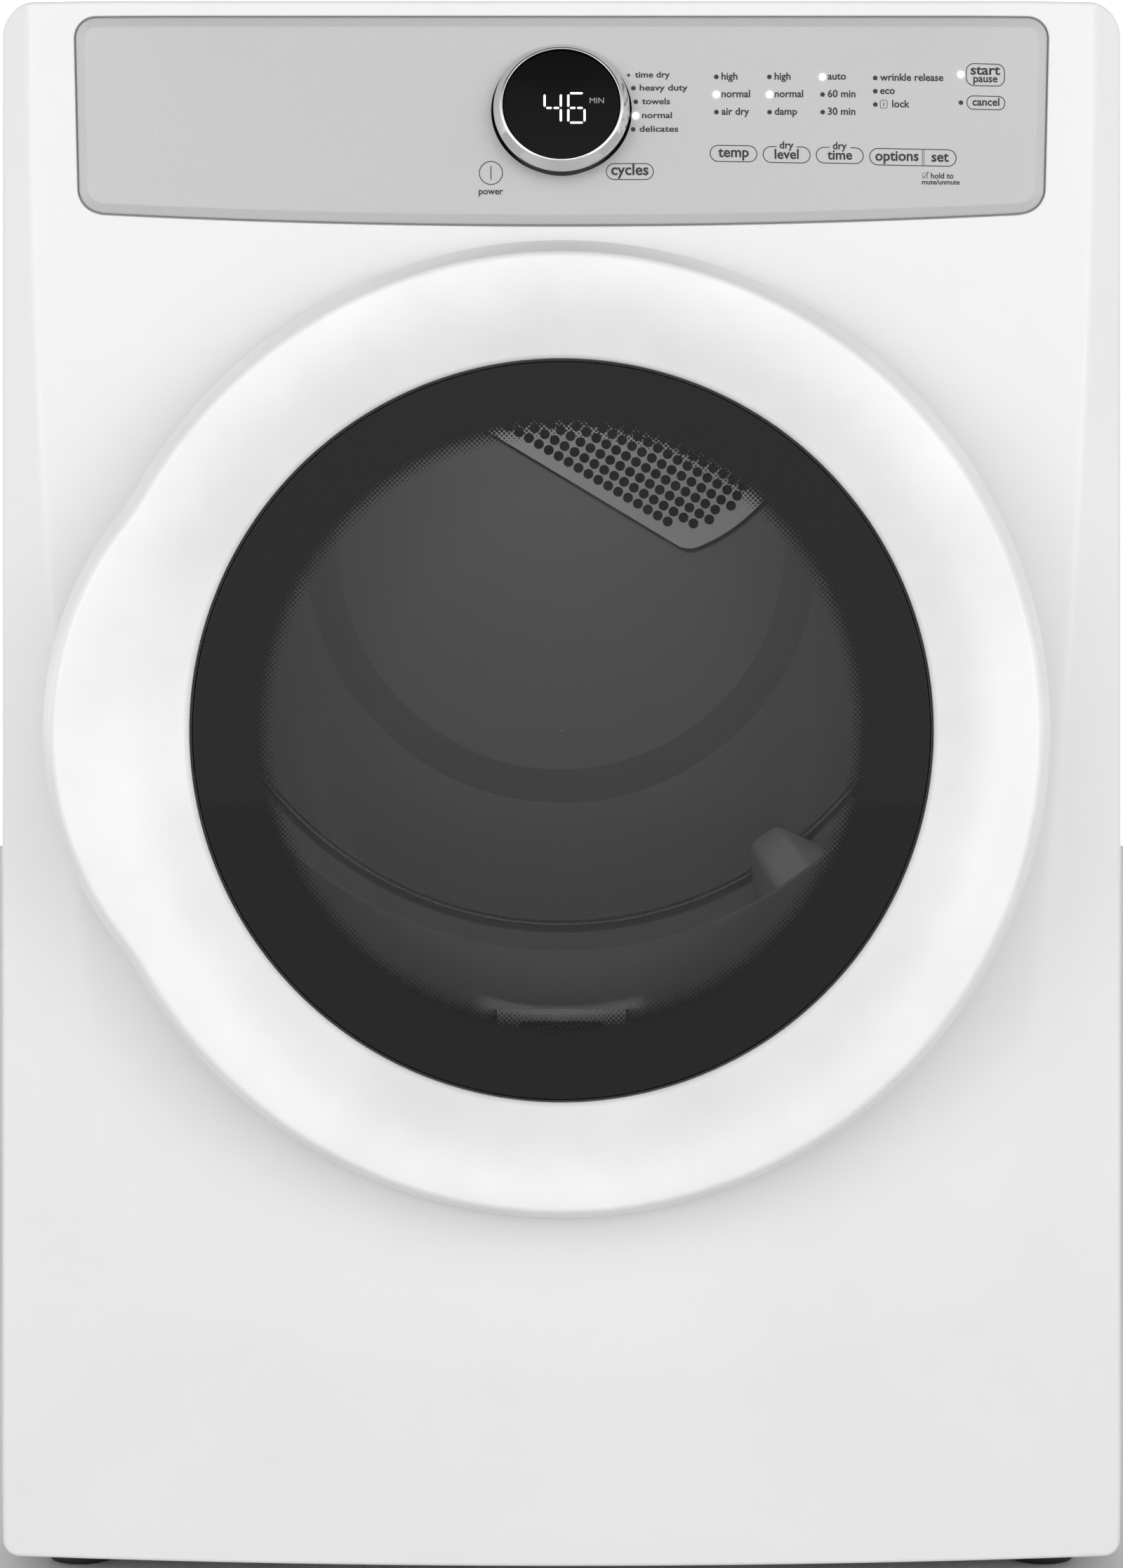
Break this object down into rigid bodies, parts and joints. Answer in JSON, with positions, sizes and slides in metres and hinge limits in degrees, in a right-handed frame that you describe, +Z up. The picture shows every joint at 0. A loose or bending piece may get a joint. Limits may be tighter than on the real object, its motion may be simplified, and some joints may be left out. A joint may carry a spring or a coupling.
{
  "type": "clothes dryer",
  "caption": "Front-loading vented clothes dryer with a round glass door, a display console, a tumbling drum, belt drive, blower, lint filter and levelling feet.",
  "frame": {"origin": "middle of the footprint, on the floor under the feet", "axes": "+Z up, the door and console face -Y, +X to the right as seen from the front"},
  "size_m": [0.686, 0.8, 0.965],
  "materials": {
    "white_enamel": "gloss",
    "white_plastic": "gloss",
    "console_grey": "satin metallic",
    "chrome_trim": "polished",
    "black_gloss": "gloss",
    "indicator": "clear",
    "circuit_board": "matte",
    "galvanised": "satin",
    "drum_enamel": "satin",
    "grey_plastic": "matte",
    "black_plastic": "matte",
    "rubber": "matte",
    "grey_rubber": "matte",
    "felt": "matte",
    "door_glass": "gloss",
    "bowl_glass": "gloss",
    "steel": "satin",
    "motor_paint": "satin",
    "heating_wire": "oxidised",
    "lamp_lens": "frosted"
  },
  "bodies": {
    "cabinet": {"front_panel": "white_enamel", "side_panel_left": "white_enamel", "side_panel_right": "white_enamel", "top_panel": "white_enamel", "rear_panel": "galvanised", "base_pan": "galvanised", "front_bulkhead": "drum_enamel", "rear_bulkhead": "drum_enamel", "air_inlet_grille": "drum_enamel", "rear_air_duct": "galvanised", "heater_box": "galvanised", "heater_coil": "heating_wire", "thermostats": "steel", "terminal_cover": "galvanised", "terminal_block": "black_plastic", "cabinet_screws": "steel", "console_fascia": "console_grey", "display_bezel": "chrome_trim", "display_lens": "black_gloss", "indicator_lights": "indicator", "control_board": "circuit_board", "cabinet_hinge_leaf": "steel", "door_catch": "black_plastic", "door_switch_body": "black_plastic", "front_drum_seal": "felt", "rear_drum_seal": "felt", "moisture_sensors": "steel", "drum_light": "lamp_lens", "lint_duct": "grey_plastic", "blower_housing": "black_plastic", "exhaust_duct": "galvanised", "motor_body": "motor_paint", "motor_mount": "galvanised", "idler_spring": "steel", "drive_belt": "rubber", "roller_axles": "steel"},
    "door": {"door_outer_ring": "white_plastic", "door_glass": "door_glass", "door_inner_panel": "grey_plastic", "door_inner_window": "bowl_glass", "door_seal": "grey_rubber", "door_strike": "steel", "door_hinge_brackets": "steel", "hinge_pin": "steel", "door_screws": "steel"},
    "drum": {"drum_shell": "drum_enamel", "drum_baffles": "grey_plastic"},
    "roller_left": {"drum_roller_left": "rubber"},
    "roller_right": {"drum_roller_right": "rubber"},
    "motor_rotor": {"motor_shaft": "steel", "motor_pulley": "steel", "blower_wheel": "black_plastic"},
    "idler_arm": {"idler_arm": "steel"},
    "idler_pulley": {"idler_pulley": "black_plastic"},
    "lint_filter": {"lint_filter": "grey_plastic"},
    "door_switch_plunger": {"door_switch_plunger": "grey_plastic"},
    "foot_front_left": {"foot_front_left": "rubber"},
    "foot_front_right": {"foot_front_right": "rubber"},
    "foot_rear_left": {"foot_rear_left": "rubber"},
    "foot_rear_right": {"foot_rear_right": "rubber"}
  },
  "joints": [
    {"name": "door_hinge", "type": "hinge", "parent": "cabinet", "child": "door", "pos_m": [0.281, -0.358, 0.523], "axis": [0, 0, 1], "range_deg": [0, 145]},
    {"name": "drum_spin", "type": "hinge", "parent": "cabinet", "child": "drum", "pos_m": [0, 0, 0.634], "axis": [0, 1, 0], "continuous": true},
    {"name": "roller_left_spin", "type": "hinge", "parent": "cabinet", "child": "roller_left", "pos_m": [-0.21382, 0.29, 0.36032], "axis": [0, 1, 0], "continuous": true},
    {"name": "roller_right_spin", "type": "hinge", "parent": "cabinet", "child": "roller_right", "pos_m": [0.21382, 0.29, 0.36032], "axis": [0, 1, 0], "continuous": true},
    {"name": "motor_spin", "type": "hinge", "parent": "cabinet", "child": "motor_rotor", "pos_m": [-0.11, 0, 0.14], "axis": [0, 1, 0], "continuous": true},
    {"name": "idler_arm_pivot", "type": "hinge", "parent": "cabinet", "child": "idler_arm", "pos_m": [-0.075, 0.074, 0.06], "axis": [0, 1, 0], "range_deg": [-8, 8], "stiffness_Nm_per_rad": 8, "deforming": ["idler_spring", "drive_belt"]},
    {"name": "idler_pulley_spin", "type": "hinge", "parent": "idler_arm", "child": "idler_pulley", "pos_m": [-0.02, 0.112, 0.175], "axis": [0, 1, 0], "continuous": true},
    {"name": "lint_filter_lift", "type": "slide", "parent": "cabinet", "child": "lint_filter", "axis": [0, 0, 1], "range_m": [0, 0.2]},
    {"name": "door_switch_press", "type": "slide", "parent": "cabinet", "child": "door_switch_plunger", "axis": [0, -1, 0], "range_m": [0, 0.005]},
    {"name": "foot_front_left_adjust", "type": "slide", "parent": "cabinet", "child": "foot_front_left", "axis": [0, 0, -1], "range_m": [0, 0.02]},
    {"name": "foot_front_right_adjust", "type": "slide", "parent": "cabinet", "child": "foot_front_right", "axis": [0, 0, -1], "range_m": [0, 0.02]},
    {"name": "foot_rear_left_adjust", "type": "slide", "parent": "cabinet", "child": "foot_rear_left", "axis": [0, 0, -1], "range_m": [0, 0.02]},
    {"name": "foot_rear_right_adjust", "type": "slide", "parent": "cabinet", "child": "foot_rear_right", "axis": [0, 0, -1], "range_m": [0, 0.02]}
  ],
  "couplings": [
    {"joint": "roller_left_spin", "follows": "drum_spin", "ratio": -8.9143},
    {"joint": "roller_right_spin", "follows": "drum_spin", "ratio": -8.9143},
    {"joint": "motor_spin", "follows": "drum_spin", "ratio": 26},
    {"joint": "idler_pulley_spin", "follows": "drum_spin", "ratio": 14.182},
    {"joint": "door_switch_press", "follows": "door_hinge", "m_per_rad": 0.0019718}
  ]
}
